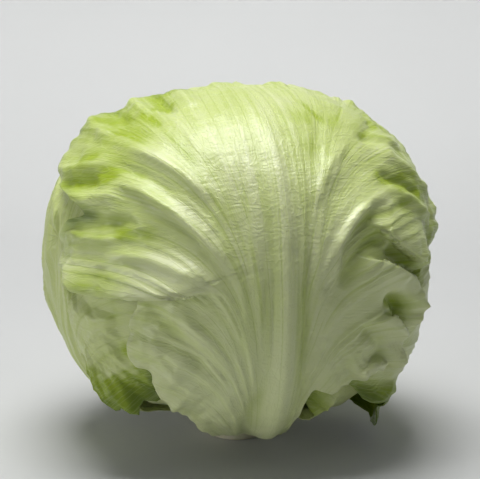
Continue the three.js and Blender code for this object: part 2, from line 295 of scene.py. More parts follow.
def leaf_plan(name, order, outline, pleats, **look):
    """All that sets one leaf apart.

    teeth is the size of the small teeth round the edge, in degrees. ragged lists torn stretches
    as (first bearing, last bearing, depth in degrees, hang in mm). lift is how far the free edge
    stands out, in mm. green is how much greener the edge is, and base_green how green the blade
    is at its foot and at its tip. greens and streaks are green places on it, and some of the
    greens are painted shade. rib is the strength of the midrib. turning is how far to the left
    and right of it the veins bend away.
    """
    plan = {
        "name": name, "order": order, "turn": FIRST_TURN + GROWTH_TURN * order,
        "outline": outline, "pleats": list(pleats),
        "teeth": 0.8, "ragged": (), "lift": 2.0, "green": 0.45, "seed": 11 + order, "rib": 1.0,
        "turning": (22.0, 22.0), "greens": (), "streaks": (), "base_green": (0.16, 0.30),
    }
    plan.update(look)
    return plan


WRAPPER_LEAVES = 5
LEAVES = [
    leaf_plan(
        "wrapper_leaf_front", 0, FRONT_OUTLINE, FRONT_PLEATS, lift=1.0, green=0.08, teeth=0.25,
        turning=(22.0, 16.0), greens=FRONT_GREENS_AND_SHADE, streaks=FRONT_STREAKS, base_green=(0.08, 0.34),
    ),
    leaf_plan(
        "wrapper_leaf_back_right", 1, BACK_RIGHT_OUTLINE, sprung_pleats(21, 18, 2.0), lift=1.6,
        ragged=((204, 246, 1.6, 9.0),), green=0.45, base_green=(0.26, 0.34), rib=0.6,
    ),
    leaf_plan(
        "wrapper_leaf_left", 2, LEFT_OUTLINE, LEFT_PLEATS + sprung_pleats(31, 8, 0.7), lift=3.0,
        ragged=((122, 172, 3.8, 3.0),), green=0.4, greens=LEFT_GREENS, base_green=(0.38, 0.40),
        rib=0.25,
    ),
    leaf_plan(
        "wrapper_leaf_right", 3, PLAIN_OUTLINE, sprung_pleats(41, 14, 1.6), base_green=(0.32, 0.34)
    ),
    leaf_plan("wrapper_leaf_back", 4, PLAIN_OUTLINE, sprung_pleats(51, 16, 2.0), lift=3.0),
]
for number, (pleat_height, edge_green) in enumerate([(1.2, 0.4), (1.2, 0.35), (1, 0.3), (1, 0.25)], 1):
    pleats = sprung_pleats(51 + 10 * number, 12, pleat_height)
    order = WRAPPER_LEAVES + number - 1
    LEAVES.append(
        leaf_plan(f"head_leaf_{number:02d}", order, CLASPING_OUTLINE, pleats, green=edge_green)
    )

# ---- Leaf shapes ----


def ease(value, start, end):
    """0 before start, 1 after end, and a smooth step between."""
    t = np.clip((value - start) / (end - start), 0.0, 1.0)
    return t * t * (3.0 - 2.0 * t)


def within(value, start, end, margin):
    """1 between start and end, falling to 0 over a margin inside each of them."""
    return ease(value, start, start + margin) * (1 - ease(value, end - margin, end))


NOISE_CELLS = 32  # after so many cells the noise repeats


def waviness(points, scale, seed):
    """Smooth noise from -1 to 1 over an array of 3-D points."""
    table = np.random.default_rng(seed).uniform(-1.0, 1.0, (NOISE_CELLS,) * 3)
    spot = points / scale + 500.0
    whole = np.floor(spot).astype(int)
    part = spot - whole
    part = part * part * (3.0 - 2.0 * part)
    total = 0.0
    for corner in range(8):
        offset = np.array([corner & 1, corner >> 1 & 1, corner >> 2 & 1])
        share = np.prod(np.where(offset, part, 1.0 - part), axis=-1)
        i, j, k = np.moveaxis((whole + offset) % NOISE_CELLS, -1, 0)
        total = total + share * table[i, j, k]
    return total


def strand_noise(value, seed, row):
    """Smooth noise over one number, different for each row."""
    value = np.asarray(value, float)
    points = np.stack([value, np.broadcast_to(row, value.shape), np.zeros_like(value)], axis=-1)
    return waviness(points, 1.0, seed)


def leaf_axes(turn):
    """Where the middle of a leaf looks, and the leaf's right and up there."""
    side, rise = math.radians(turn), math.radians(LEAF_RISE)
    middle = np.array(
        [math.cos(rise) * math.sin(side), -math.cos(rise) * math.cos(side), math.sin(rise)]
    )
    right = np.array([math.cos(side), math.sin(side), 0.0])
    return middle, right, np.cross(middle, right)


def plane_to_direction(axes, x, y):
    middle, right, up = axes
    reach = np.radians(np.hypot(x, y))
    bearing = np.arctan2(x, y)
    out = np.sin(reach)
    return (
        np.cos(reach)[..., None] * middle
        + (out * np.sin(bearing))[..., None] * right
        + (out * np.cos(bearing))[..., None] * up
    )


# How square the head is in side view: 2 is an ellipse, and more is squarer.
CROWN_POWER, BELLY_POWER = 2.4, 2.35
NECK_DEPTH = 5.5 * MM  # how far the leaves draw in round the stem
SWELL = 1.1 * MM  # slow unevenness of the whole head


def head_radius(direction, sizes):
    """From the head's centre to its outermost skin."""
    above = direction[..., 2] > 0
    power = np.where(above, CROWN_POWER, BELLY_POWER)
    upright = np.abs(direction[..., 2]) / np.where(
        above, sizes.height - sizes.centre_height, sizes.belly
    )
    level = np.hypot(direction[..., 0] / sizes.half_width, direction[..., 1] / sizes.half_depth)
    radius = (level**power + upright**power) ** (-1.0 / power)
    below = np.degrees(np.arccos(np.clip(-direction[..., 2], -1, 1)))
    neck = NECK_DEPTH * np.exp(-(((below - 25) / 13) ** 2))
    return radius - neck + SWELL * waviness(direction, 0.42, 5)


def round_edge(bearing):
    """Points round a circle, so that noise along a leaf's edge closes on itself."""
    turn = np.radians(bearing)
    return np.stack([np.cos(turn), np.sin(turn), np.zeros_like(turn)], axis=-1)


def outline_reach(plan, bearing):
    """Reach of the leaf's edge at each bearing, with its teeth and torn stretches."""
    at, reach = np.array(plan["outline"], float).T
    at = np.concatenate([at - 360, at, at + 360])
    reach = np.tile(reach, 3)
    slope = np.gradient(reach, at)
    after = np.clip(np.searchsorted(at, bearing, side="right"), 1, len(at) - 1)
    before = after - 1
    span = at[after] - at[before]
    t = (bearing - at[before]) / span
    edge = (
        reach[before] * (2 * t**3 - 3 * t**2 + 1)
        + slope[before] * span * (t**3 - 2 * t**2 + t)
        + reach[after] * (3 * t**2 - 2 * t**3)
        + slope[after] * span * (t**3 - t**2)
    )
    spots, seed = round_edge(bearing), plan["seed"]
    away = ease(np.abs(180 - bearing), 8, 24)
    teeth = 1.1 * waviness(spots, 0.07, seed) + 0.5 * waviness(spots, 0.028, seed + 50)
    edge = edge + plan["teeth"] * away * teeth
    slits = waviness(spots, 0.07, seed + 80)
    tears = (
        0.4 * waviness(spots, 0.12, seed + 90) - 0.6 * np.exp(-((slits / 0.12) ** 2))
        + 0.9 * waviness(spots, 0.05, seed + 95) + 1.1 * waviness(spots, 0.026, seed + 97)
    )
    for start, end, depth, _ in plan["ragged"]:
        edge = edge + depth * within(bearing, start, end, 8) * tears
    return edge


def along_pleat(x, y, points):
    """Signed distance to a pleat's run, left of it positive, the share of the run walked there,
    and the two parts of the direction that is left."""
    points = np.array(points, float)
    best = np.full(x.shape, np.inf)
    signed, share, normal_x, normal_y = (np.zeros(x.shape) for _ in range(4))
    steps = np.hypot(*np.diff(points, axis=0).T)
    total, walked = steps.sum(), 0.0
    for (ax, ay), (bx, by), step in zip(points[:-1], points[1:], steps):
        ux, uy = (bx - ax) / step, (by - ay) / step
        t = np.clip((x - ax) * ux + (y - ay) * uy, 0.0, step)
        off_x, off_y = x - ax - t * ux, y - ay - t * uy
        distance = np.hypot(off_x, off_y)
        nearer = distance < best
        best = np.where(nearer, distance, best)
        side = np.where(ux * off_y - uy * off_x >= 0, 1.0, -1.0)
        signed = np.where(nearer, side * distance, signed)
        share = np.where(nearer, (walked + t) / total, share)
        normal_x = np.where(nearer, -uy, normal_x)
        normal_y = np.where(nearer, ux, normal_y)
        walked += step
    return signed, share, normal_x, normal_y


def add_pleats(plan, x, y):
    """Height and sideways lean of all the leaf's pleats, in metres and degrees."""
    height, lean_x, lean_y = (np.zeros(x.shape) for _ in range(3))
    for points, rise, left, right, lean in plan["pleats"]:
        signed, share, normal_x, normal_y = along_pleat(x, y, points)
        profile = np.exp(-((signed / np.where(signed > 0, left, right)) ** 2))
        profile = profile * ease(share, -0.02, 0.22) * (1 - ease(share, 0.78, 1.02))
        height += rise * MM * profile
        lean_x += lean * profile * normal_x
        lean_y += lean * profile * normal_y
    return height, lean_x, lean_y


def vein_lines(x, y, plan):
    """Which vein a point is on, how far from the stump it is, and how finely veins split there.

    Veins leave the stump side by side and run up along the midrib. Each then bends away to the
    edge: its sideways slope is (x / turning)^2, so the veins that start outermost bend first.
    """
    left, right = plan["turning"]
    step = 0.5
    up = np.arange(-110.0, 120.0 + step, step)
    turning = left + np.maximum(up, 0.0) ** 2 / 110.0  # veins near the tip bend less
    scale = 1 + ease(x, -2.0, 2.0) * (left / right - 1)
    turned = np.interp(y, up, np.cumsum(step / turning**2)) * scale**2
    tight = np.interp(y, up, turning) / scale
    wide = np.abs(x) + 0.25 * waviness(np.stack([x, y, 0 * x], axis=-1), 14.0, plan["seed"])
    opened = 1.0 + np.maximum(wide, 0.0) * turned
    strand = np.sign(x) * wide / opened
    spread = opened**2 / np.sqrt(1.0 + (wide / tight) ** 4)
    distance = np.hypot(y + BASE_REACH, 0.6 * x) * 1.5 * MM  # a degree is about 1.5 mm
    return strand, distance, np.log2(spread)


def vein_relief(strand, split, seed):
    """Ridges along the veins, from 0 to 1, that split in two as the leaf widens."""
    lower = np.floor(split)
    share = ease(split - lower, 0.25, 0.75)

    def ridges(octave):
        across = strand * 2.0**octave / 2.6
        return (1.0 - np.abs(strand_noise(across, seed, 0.37 * octave + 0.2))) ** 3

    return ridges(lower) * (1 - share) + ridges(lower + 1) * share


class Cover:
    """How far out the leaves that are already in place leave room, by direction."""

    CELLS = 52
    OPEN = 1.0

    def __init__(self):
        self.room = np.full(6 * self.CELLS**2, self.OPEN)

    def cell(self, direction):
        size = np.abs(direction)
        axis = np.argmax(size, axis=-1)
        main = np.take_along_axis(direction, axis[..., None], -1)[..., 0]
        first = np.take_along_axis(direction, ((axis + 1) % 3)[..., None], -1)[..., 0]
        second = np.take_along_axis(direction, ((axis + 2) % 3)[..., None], -1)[..., 0]
        face = axis * 2 + (main > 0)
        # equal angles rather than equal lengths, so that cells have much the same size
        u = np.arctan2(first, np.abs(main)) / (math.pi / 2) + 0.5
        v = np.arctan2(second, np.abs(main)) / (math.pi / 2) + 0.5
        column = np.clip((u * self.CELLS).astype(int), 0, self.CELLS - 1)
        row = np.clip((v * self.CELLS).astype(int), 0, self.CELLS - 1)
        return (face * self.CELLS + row) * self.CELLS + column

    def add(self, points):
        radius = np.linalg.norm(points, axis=-1)
        np.minimum.at(self.room, self.cell(points / radius[..., None]).ravel(), radius.ravel())

    def near(self, direction, axes, x, y, span):
        """The least room at and around each direction."""
        least = self.room[self.cell(direction)]
        for spoke in range(8):
            turn = math.radians(45 * spoke)
            for share in (0.5, 1.0):
                around = plane_to_direction(
                    axes, x + share * span * math.sin(turn), y + share * span * math.cos(turn)
                )
                least = np.minimum(least, self.room[self.cell(around)])
        return least


def smoothed(grid, passes):
    """A leaf grid, rings by spokes, averaged with its neighbours."""
    for _ in range(passes):
        sides = np.roll(grid, 1, axis=1) + np.roll(grid, -1, axis=1)
        grid = 0.5 * grid + 0.25 * sides
        ends = np.vstack([grid[:1], grid[:-1]]) + np.vstack([grid[1:], grid[-1:]])
        grid = 0.5 * grid + 0.25 * ends
    return grid


def grid_normals(points, outward):
    """Unit normals of a leaf grid, turned to the outside."""
    across = np.roll(points, -1, axis=1) - np.roll(points, 1, axis=1)
    along = np.gradient(points, axis=0)
    normal = np.cross(across, along)
    size = np.linalg.norm(normal, axis=-1, keepdims=True)
    normal = normal / np.maximum(size, 1e-12)
    facing = np.sum(normal * outward, axis=-1, keepdims=True)
    return np.where(facing < 0, -normal, normal)


FREE_SPRING = 0.765  # how much of its depth a leaf wins back where no other leaf holds it
FOOT_HEIGHT = 3.0 * MM  # no leaf hangs lower than this over the surface,
STEM_FOOT_HEIGHT = 6.0 * MM  # or than this close to the stem


def edge_waves(plan, bearing):
    """How rough, how torn and how far hanging the edge is at each bearing."""
    spots = round_edge(bearing)
    rough = waviness(spots, 0.10, plan["seed"] + 3) + 0.6 * waviness(spots, 0.045, plan["seed"] + 4)
    torn, hanging = np.zeros_like(bearing), np.zeros_like(bearing)
    for start, end, _, hang in plan["ragged"]:
        torn = torn + within(bearing, start, end, 12)
        hanging = hanging + hang * within(bearing, start, end, 12)
    return rough, torn, hanging


def leaf_green(plan, x, y, inside, folded, torn, off_base):
    """How green the blade is: 0 pale, 1 as green as the edge."""
    low, high = plan["base_green"]
    green = low + (high - low) * ease(y, -45, 40)
    green = green + plan["green"] * (1 - ease(inside, 1, 16)) * off_base
    # pleat crests are painted paler, a painted highlight, and pleat valleys greener, painted shade;
    # torn edges are greener
    green = green - 0.065 * np.clip(folded, -3.5, 3.0) + 0.5 * torn * (1 - ease(inside, 4, 15))
    for at_x, at_y, radius, strength in plan["greens"]:
        green = green + strength * np.exp(-((x - at_x) ** 2 + (y - at_y) ** 2) / radius**2)
    for points, half_width, strength in plan["streaks"]:
        off, along = along_pleat(x, y, points)[:2]
        fading = within(along, -0.02, 1.02, 0.3)
        green = green + strength * fading * np.exp(-((off / half_width) ** 2))
    return green


def shape_leaf(plan, sizes, cover):
    """Both faces of a leaf as grids of points round the head's centre, with its vein map."""
    axes, seed = leaf_axes(plan["turn"]), plan["seed"]
    bearing = np.arange(SPOKES) * 360.0 / SPOKES
    edge = outline_reach(plan, bearing)[None, :]
    share = ((np.arange(RINGS) + 0.5) / (RINGS - 0.5))[:, None]
    reach = share * edge
    turn = np.radians(bearing)[None, :]
    x, y = reach * np.sin(turn), reach * np.cos(turn)
    inside = edge - reach

    # pleats, veins and the midrib
    height, lean_x, lean_y = add_pleats(plan, x, y)
    folded = height / MM
    strand, distance, split = vein_lines(x, y, plan)
    veins = vein_relief(strand, split, seed)
    rib_width = 1.9 + 2.6 * (1 - ease(y, -90, 0))
    rib = plan["rib"] * np.exp(-((x / rib_width) ** 2)) * (1 - ease(y, 10, 60))
    low_down = 1 - ease(y, -10, 45)
    height += (0.22 + 0.78 * low_down) * (1 - 0.8 * rib) * MM * (veins - 0.4)
    height += (1.2 + 2.2 * (1 - ease(y, -70, 10))) * MM * rib * ease(y, -82, -58)

    # blisters, higher towards the edge
    flat = plane_to_direction(axes, x, y)
    towards_edge = 1 - ease(inside, 0, 34)
    blister = waviness(flat, 0.085, seed + 7) + 0.5 * waviness(flat, 0.04, seed + 8)
    height += sizes.pucker * (0.35 + 1.3 * towards_edge) * blister

    # the free edge waves and stands out, and a torn one hangs
    rough, torn, hanging = edge_waves(plan, bearing)
    off_base = ease(np.abs(180 - bearing), 12, 40)[None, :]
    height += sizes.ruffle * (1 + 0.8 * torn) * (1 - ease(inside, 0, 16)) * off_base * rough
    lift = plan["lift"] * (0.6 + 0.4 * rough) + hanging * (0.85 + 0.3 * rough)
    height += lift * MM * (1 - ease(inside, 0, 13 + 5 * torn)) * off_base

    # wrapped over the head, free where it is bare and under the other leaves elsewhere
    direction = plane_to_direction(axes, x + lean_x, y + lean_y)
    depth = plan["order"] * sizes.layer
    if plan["order"]:
        room = cover.near(direction, axes, x + lean_x, y + lean_y, 2.4)
        wide = cover.near(direction, axes, x + lean_x, y + lean_y, 6.0)
        bare = smoothed((wide >= Cover.OPEN).astype(float), 10)
    else:
        room = np.full(x.shape, Cover.OPEN)
        bare = np.ones(x.shape)
    skin = head_radius(direction, sizes)
    radius = skin - depth + bare * (FREE_SPRING * depth * off_base + height)
    excess = np.maximum(0.0, radius - (room - sizes.clearance))
    radius = radius - np.maximum(excess, smoothed(excess, 6))
    # kept off the surface that the head stands on
    below = np.degrees(np.arccos(np.clip(-direction[..., 2], -1, 1)))
    lowest = STEM_FOOT_HEIGHT - (STEM_FOOT_HEIGHT - FOOT_HEIGHT) * ease(below, 28, 52)
    drop = -(sizes.centre_height - lowest) / np.minimum(direction[..., 2], -1e-6)
    radius = np.where(direction[..., 2] < 0, np.minimum(radius, np.abs(drop)), radius)

    outer = direction * radius[..., None]
    normal = grid_normals(outer, direction)
    thin = 0.35 + 0.65 * ease(inside, 0, 10) + 1.2 * rib
    inner = outer - normal * (sizes.thickness * thin)[..., None]
    cover.add(inner)
    cover.add(outer)
    return {
        "outer": outer, "inner": inner, "strand": strand, "distance": distance, "split": split,
        "inside": np.broadcast_to(inside, x.shape), "rib": rib, "x": x, "y": y,
        "green": leaf_green(plan, x, y, inside, folded, torn, off_base),
    }


def smooth_mesh(name, points, faces):
    """A mesh that is shaded smooth."""
    mesh = bpy.data.meshes.new(name)
    mesh.from_pydata(points, [], faces)
    mesh.polygons.foreach_set("use_smooth", np.ones(len(mesh.polygons), bool))
    mesh.update()
    return mesh


def leaf_mesh(name, shape, centre):
    """A closed mesh from the two faces of a leaf."""
    count = RINGS * SPOKES
    shells = []
    for side in ("outer", "inner"):
        grid = shape[side]
        shells += [grid.reshape(-1, 3), grid[0].mean(axis=0)[None, :]]
    points = np.vstack(shells) + centre

    ring, spoke = np.meshgrid(np.arange(RINGS - 1), np.arange(SPOKES), indexing="ij")
    after = (spoke + 1) % SPOKES
    corners = [ring * SPOKES + spoke, ring * SPOKES + after]
    corners += [(ring + 1) * SPOKES + after, (ring + 1) * SPOKES + spoke]
    outer = np.stack(corners, axis=-1).reshape(-1, 4)
    inner = outer[:, ::-1] + count + 1
    around = np.arange(SPOKES)
    beyond = (around + 1) % SPOKES
    last = (RINGS - 1) * SPOKES
    rim = np.stack(
        [last + around, last + beyond, last + beyond + count + 1, last + around + count + 1],
        axis=-1,
    )
    quads = np.vstack([outer, inner, rim])
    fan = np.stack([np.full(SPOKES, count), beyond, around], axis=-1)
    fan_inner = np.stack(
        [np.full(SPOKES, 2 * count + 1), around + count + 1, beyond + count + 1], axis=-1
    )
    faces = quads.tolist() + fan.tolist() + fan_inner.tolist()
    mesh = smooth_mesh(name, points.tolist(), faces)

    def both(grid):
        flat = np.append(grid.reshape(-1), grid[0].mean())
        return np.concatenate([flat, flat])

    put_map(mesh, "vein_map", both(shape["strand"]), both(shape["distance"]), both(shape["split"]))
    put_map(mesh, "leaf_map", both(shape["inside"]), both(shape["rib"]), both(shape["green"]))
    put_map(mesh, "plane_map", both(shape["x"]), both(shape["y"]), both(0 * shape["x"]))
    return mesh


def put_map(mesh, name, *parts):
    """Three numbers for each point of a mesh, which its material reads by name."""
    attribute = mesh.attributes.new(name, "FLOAT_VECTOR", "POINT")
    attribute.data.foreach_set("vector", np.stack(parts, axis=-1).astype(np.float32).ravel())


leaf_shapes = {}


def all_leaf_shapes(sizes):
    """Every leaf's shape, from the outermost in. It is worked out once for each set of sizes."""
    key = tuple(getattr(sizes, name) for name in LettuceSizes.__annotations__)
    if key not in leaf_shapes:
        cover = Cover()
        leaf_shapes[key] = {plan["name"]: shape_leaf(plan, sizes, cover) for plan in LEAVES}
        leaf_shapes[key]["cover"] = cover
    return leaf_shapes[key]


# ---- Materials ----


class Nodes:
    """Puts nodes into a tree and joins them with few words."""

    def __init__(self, tree):
        self.tree = tree

    def add(self, kind, **settings):
        node = self.tree.nodes.new(kind)
        for name, value in settings.items():
            setattr(node, name, value)
        return node

    def join(self, source, target):
        if isinstance(source, bpy.types.NodeSocket):
            self.tree.links.new(source, target)
        else:
            target.default_value = source

    def feed(self, node, **values):
        """Joins or sets a node's inputs by name, with _ in place of each space."""
        for name, value in values.items():
            self.join(value, node.inputs[name.replace("_", " ")])
        return node

    def math(self, operation, *values, clamp=False):
        node = self.add("ShaderNodeMath", operation=operation, use_clamp=clamp)
        for value, socket in zip(values, node.inputs):
            self.join(value, socket)
        return node.outputs[0]

    def plus(self, first, second):
        return self.math("ADD", first, second)

    def minus(self, first, second):
        return self.math("SUBTRACT", first, second)

    def times(self, first, second, clamp=False):
        return self.math("MULTIPLY", first, second, clamp=clamp)

    def vector(self, x, y, z):
        node = self.add("ShaderNodeCombineXYZ")
        for value, socket in zip((x, y, z), node.inputs):
            self.join(value, socket)
        return node.outputs[0]

    def parts(self, vector):
        node = self.add("ShaderNodeSeparateXYZ")
        self.join(vector, node.inputs[0])
        return node.outputs

    def noise(self, vector, scale, detail=2.0, roughness=0.5):
        node = self.add("ShaderNodeTexNoise")
        self.feed(node, Vector=vector, Scale=scale, Detail=detail, Roughness=roughness)
        return node.outputs["Fac"]

    def step(self, value, start, end, low=0.0, high=1.0):
        node = self.add("ShaderNodeMapRange", interpolation_type="SMOOTHSTEP")
        for source, socket in zip((value, start, end, low, high), node.inputs):
            self.join(source, socket)
        return node.outputs[0]

    def mix(self, share, first, second, data_type="RGBA"):
        """Between two colours or, with FLOAT, two values. A mix node has sockets for each kind."""
        node = self.add("ShaderNodeMix", data_type=data_type)
        first_socket, out_socket = {"FLOAT": (2, 0), "RGBA": (6, 2)}[data_type]
        self.join(share, node.inputs[0])
        self.join(first, node.inputs[first_socket])
        self.join(second, node.inputs[first_socket + 1])
        return node.outputs[out_socket]

    def group(self, tree, **values):
        return self.feed(self.add("ShaderNodeGroup", node_tree=tree), **values).outputs

    def map(self, name):
        return self.add("ShaderNodeAttribute", attribute_name=name).outputs["Vector"]

    def bump(self, height, strength, distance):
        node = self.add("ShaderNodeBump")
        return self.feed(node, Height=height, Strength=strength, Distance=distance).outputs[0]


SOCKETS = {"value": "NodeSocketFloat", "vector": "NodeSocketVector", "colour": "NodeSocketColor"}


def new_group(name, inputs, outputs):
    """An empty node group with named sockets, and its input and output nodes."""
    tree = bpy.data.node_groups.new(name, "ShaderNodeTree")
    for direction, sockets in (("INPUT", inputs), ("OUTPUT", outputs)):
        for socket, kind, *default in sockets:
            made = tree.interface.new_socket(socket, in_out=direction, socket_type=SOCKETS[kind])
            if default:
                made.default_value = default[0]
    nodes = Nodes(tree)
    return nodes, nodes.add("NodeGroupInput").outputs, nodes.add("NodeGroupOutput").inputs


def vein_group():
    """Fine veins that split as the leaf widens, the net between them, and puckers across them."""
    nodes, given, out = new_group(
        "Leaf veins",
        [("Vein Map", "vector"), ("Seed", "value", 0.0)],
        [("Veins", "value"), ("Net", "value"), ("Puckers", "value"), ("Streaks", "value")],
    )
    strand, distance, split = nodes.parts(given["Vein Map"])
    lower = nodes.math("FLOOR", split)
    share = nodes.step(nodes.minus(split, lower), 0.25, 0.75)

    def at_octave(octave, maker):
        across = nodes.times(strand, nodes.math("POWER", 2.0, octave))
        return maker(across, nodes.plus(given["Seed"], nodes.times(octave, 7.3)))

    def blended(maker):
        first = at_octave(lower, maker)
        second = at_octave(nodes.plus(lower, 1.0), maker)
        return nodes.mix(share, first, second, "FLOAT")

    def thin_lines(across, row):
        spot = nodes.vector(across, nodes.times(distance, 9.0), row)
        off = nodes.math("ABSOLUTE", nodes.minus(nodes.noise(spot, 0.25, detail=1.0), 0.5))
        return nodes.step(off, 0.0, 0.040, 1.0, 0.0)

    def net(across, row):
        spot = nodes.vector(nodes.times(across, 0.8), nodes.times(distance, 150.0), row)
        node = nodes.add("ShaderNodeTexVoronoi", feature="DISTANCE_TO_EDGE")
        nodes.feed(node, Vector=spot, Scale=1.0)
        return nodes.step(node.outputs["Distance"], 0.0, 0.10, 1.0, 0.0)

    def puckers(across, row):
        near = nodes.vector(nodes.times(across, 0.25), nodes.times(distance, 120.0), row)
        bend = nodes.times(nodes.noise(near, 1.0, detail=1.0), 3.0)
        spot = nodes.vector(
            nodes.plus(nodes.times(across, 0.42), bend),
            nodes.plus(nodes.times(distance, 760.0), bend), row,
        )
        return nodes.noise(spot, 1.0, detail=2.0, roughness=0.4)

    def streaks(across, row):
        spot = nodes.vector(across, nodes.times(distance, 16.0), row)
        return nodes.noise(spot, 0.5, detail=1.0, roughness=0.5)

    makers = {"Veins": thin_lines, "Net": net, "Puckers": puckers, "Streaks": streaks}
    for name, maker in makers.items():
        nodes.join(blended(maker), out[name])
    return nodes.tree


def tint_group():
    """The colour of a leaf: pale by the midrib and low down, green to the edge, dark at torn tips."""
    nodes, given, out = new_group(
        "Leaf tint",
        [
            ("Blade", "colour"), ("Rib", "colour"), ("Edge", "colour"), ("Tip", "colour"),
            ("Leaf Map", "vector"), ("Plane Map", "vector"), ("Veins", "value"),
            ("Net", "value"), ("Streaks", "value"), ("Place", "vector"),
        ],
        [("Colour", "colour")],
    )
    inside, rib, green = nodes.parts(given["Leaf Map"])
    _, up, _ = nodes.parts(given["Plane Map"])
    fine = nodes.minus(nodes.noise(given["Place"], 70.0, detail=3.0), 0.5)
    wide = nodes.minus(nodes.noise(given["Place"], 20.0, detail=2.0), 0.5)
    streak = nodes.minus(given["Streaks"], 0.5)
    # uneven green, more uneven where it is greener, and held back along the midrib
    mottle = nodes.plus(nodes.times(fine, 0.35), nodes.times(wide, 1.3))
    mottle = nodes.minus(mottle, nodes.times(streak, 0.9))
    mottle = nodes.times(mottle, nodes.plus(0.30, nodes.times(green, 1.1)))
    mask = nodes.plus(green, mottle)
    mask = nodes.times(mask, nodes.step(rib, 0.1, 0.8, 1.0, 0.3), clamp=True)
    colour = nodes.mix(nodes.step(mask, 0.02, 0.48), given["Rib"], given["Blade"])
    colour = nodes.mix(nodes.step(mask, 0.42, 1.0), colour, given["Edge"])
    # dark torn tips, in the last degrees before the edge
    torn = nodes.plus(inside, nodes.times(fine, 18.0))
    at_tip = nodes.times(nodes.step(torn, 11.0, 1.0), nodes.step(green, 0.5, 0.9))
    colour = nodes.mix(nodes.times(at_tip, 0.75), colour, given["Tip"])
    # a thin pale rim where the edge isn't green: a painted highlight where the curled edge catches the
    # light
    rim = nodes.times(nodes.step(inside, 2.6, 0.6), nodes.step(green, 0.7, 0.3))
    colour = nodes.mix(nodes.times(rim, 0.6), colour, given["Rib"])
    # the veins show more in the upper leaf
    high = nodes.step(up, -35.0, -5.0, 0.18, 0.34)
    colour = nodes.mix(nodes.times(given["Veins"], high), colour, given["Edge"])
    colour = nodes.mix(nodes.times(given["Net"], 0.16), colour, given["Rib"])
    nodes.join(colour, out["Colour"])
    return nodes.tree


def group_named(name, maker):
    """A node group, made the first time that it is asked for."""
    return bpy.data.node_groups.get(name) or maker()


def new_material(name):
    """A material, the helper for its nodes, and its shader."""
    material = bpy.data.materials.new(name)
    material.use_nodes = True
    return material, Nodes(material.node_tree), material.node_tree.nodes["Principled BSDF"]


def leaf_material(name, colours, blade, seed):
    """Fresh leaf: waxy, finely veined and puckered."""
    material, nodes, shader = new_material(name)
    veins = nodes.group(
        group_named("Leaf veins", vein_group), Vein_Map=nodes.map("vein_map"), Seed=float(seed)
    )
    tint = nodes.group(
        group_named("Leaf tint", tint_group),
        Blade=(*blade, 1.0), Rib=(*colours.rib, 1.0), Edge=(*colours.edge, 1.0),
        Tip=(*colours.tip, 1.0), Leaf_Map=nodes.map("leaf_map"), Plane_Map=nodes.map("plane_map"),
        Veins=veins["Veins"], Net=veins["Net"], Streaks=veins["Streaks"],
        Place=nodes.add("ShaderNodeTexCoord").outputs["Object"],
    )
    relief = nodes.times(nodes.minus(veins["Puckers"], 0.5), 0.55)
    relief = nodes.minus(relief, nodes.times(veins["Veins"], 0.12))
    relief = nodes.plus(relief, nodes.times(veins["Net"], 0.10))
    relief = nodes.plus(relief, nodes.times(veins["Streaks"], 0.5))
    nodes.feed(
        shader,
        Base_Color=tint["Colour"], Roughness=nodes.plus(0.28, nodes.times(veins["Puckers"], 0.26)),
        Subsurface_Weight=0.25, Subsurface_Radius=(0.9, 1.0, 0.35), Subsurface_Scale=0.0018,
        IOR=1.42, Coat_Weight=0.18, Coat_Roughness=0.28,
        Normal=nodes.bump(relief, 0.70, 0.9 * MM),
    )
    return material


def stem_material(name, colours, cut):
    """Cut stem: moist pale flesh, browned in a ring near the rim and in specks on the cut."""
    material, nodes, shader = new_material(name)
    place = nodes.add("ShaderNodeTexCoord").outputs["Object"]
    x, y, z = nodes.parts(place)
    radius = nodes.math("SQRT", nodes.plus(nodes.times(x, x), nodes.times(y, y)))
    wobble = nodes.noise(place, 260.0, detail=3.0)
    ringed = nodes.plus(radius, nodes.times(wobble, 2.2 * MM))
    inner_edge = nodes.step(ringed, cut - 5.5 * MM, cut - 3.5 * MM)
    outer_edge = nodes.step(ringed, cut - 0.5 * MM, cut - 2.5 * MM)
    on_cut = nodes.step(z, 1.6 * MM, 0.4 * MM)
    specks = nodes.step(nodes.noise(place, 900.0, detail=4.0), 0.58, 0.72)
    ring = nodes.times(inner_edge, outer_edge)
    browned = nodes.times(on_cut, nodes.math("MAXIMUM", ring, specks))
    flesh = nodes.mix(
        nodes.noise(place, 120.0, detail=3.0), (*colours.stem, 1.0), (*colours.rib, 1.0)
    )
    fibres = nodes.noise(place, 700.0, detail=5.0, roughness=0.6)
    nodes.feed(
        shader,
        Base_Color=nodes.mix(nodes.times(browned, 0.7), flesh, (*colours.browning, 1.0)),
        Roughness=nodes.plus(0.35, nodes.times(wobble, 0.3)),
        Subsurface_Weight=0.2, Subsurface_Radius=(1.0, 0.7, 0.5), Subsurface_Scale=0.003,
        Normal=nodes.bump(fibres, 0.6, 0.6 * MM),
    )
    return material


def floor_material(name, colours):
    """Pale matt studio floor."""
    material, nodes, shader = new_material(name)
    mottle = nodes.noise(nodes.add("ShaderNodeTexCoord").outputs["Object"], 9.0, detail=3.0)
    pale = (*colours.floor, 1.0)
    darker = (*(0.96 * value for value in colours.floor), 1.0)
    nodes.feed(
        shader,
        Base_Color=nodes.mix(mottle, pale, darker), Roughness=0.55, Specular_IOR_Level=0.3,
    )
    return material


# ---- Pieces ----


def add_piece(name, mesh, material, node):
    """Puts a mesh in the scene in place of a node of the CAD model."""
    piece = bpy.data.objects.new(name, mesh)
    bpy.context.scene.collection.objects.link(piece)
    mesh.materials.append(material)
    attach(piece, "root")
    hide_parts(node)
    return piece


